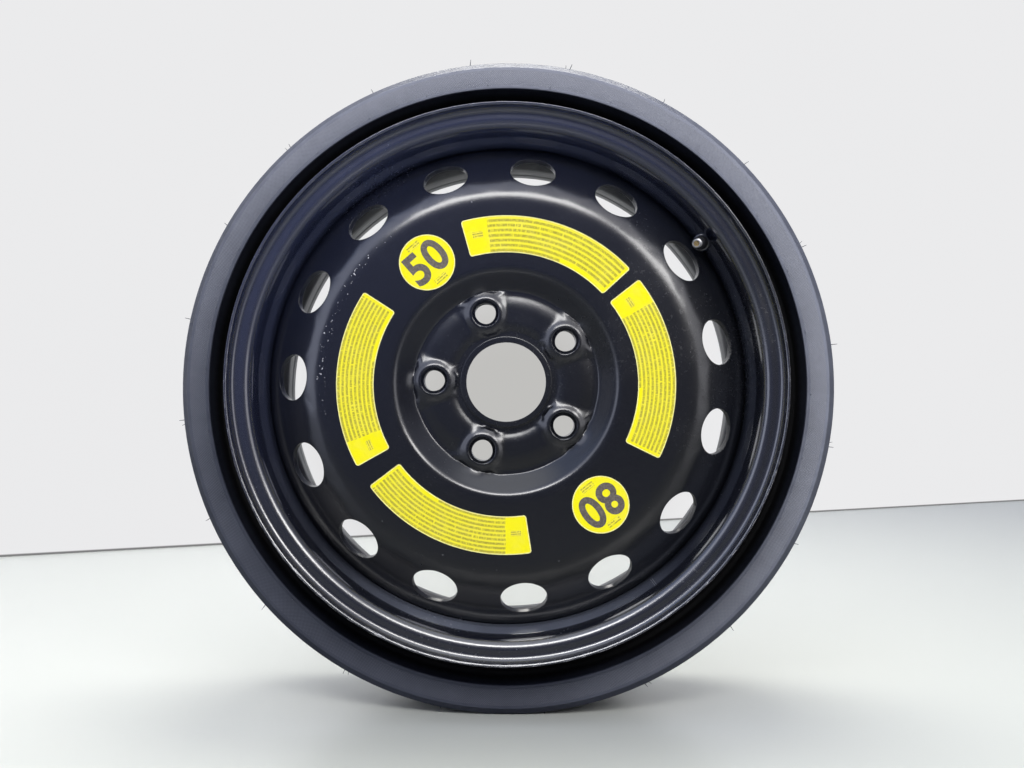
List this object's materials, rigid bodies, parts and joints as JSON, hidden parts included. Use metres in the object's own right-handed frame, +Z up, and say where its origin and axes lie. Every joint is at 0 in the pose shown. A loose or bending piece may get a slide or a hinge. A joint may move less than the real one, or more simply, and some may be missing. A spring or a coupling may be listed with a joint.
{
  "type": "folding spare wheel",
  "caption": "Pressed steel spare wheel with oval vents, a deflated folding tyre, a bare snap-in valve and yellow arc labels round its hub.",
  "frame": {"origin": "centre of the wheel: on the spin axis, midway between the two rim lips", "axes": "+Y along the spin axis toward the vehicle, so the outer face looks to -Y; +Z up; the wheel stands upright"},
  "size_m": [0.6002, 0.1926, 0.6002],
  "materials": {
    "tyre_rubber": "smooth with a faint cross-hatch",
    "rim_paint": "gloss blue-black",
    "disc_paint": "gloss black, dusty",
    "weld_paint": "satin",
    "valve_rubber": "matt",
    "valve_metal": "dull nickel",
    "core_brass": "plain",
    "core_steel": "plain",
    "label_film": "satin yellow film"
  },
  "bodies": {
    "wheel": {"tyre": "tyre_rubber", "rim_barrel": "rim_paint", "disc": "disc_paint", "disc_welds": "weld_paint", "valve_rubber": "valve_rubber", "valve_stem": "valve_metal", "core_housing": "core_brass", "core_spring": "core_steel", "label_top": "label_film", "label_left": "label_film", "label_bottom": "label_film", "label_right": "label_film", "label_round_upper": "label_film", "label_round_lower": "label_film"},
    "valve_pin": {"core_pin": "core_brass"}
  },
  "joints": [
    {"name": "valve_pin_press", "type": "slide", "parent": "wheel", "child": "valve_pin", "axis": [0.3046, 0.9272, 0.2181], "range_m": [0, 0.0013], "stiffness_N_per_m": 1500, "springref_m": -0.002}
  ]
}
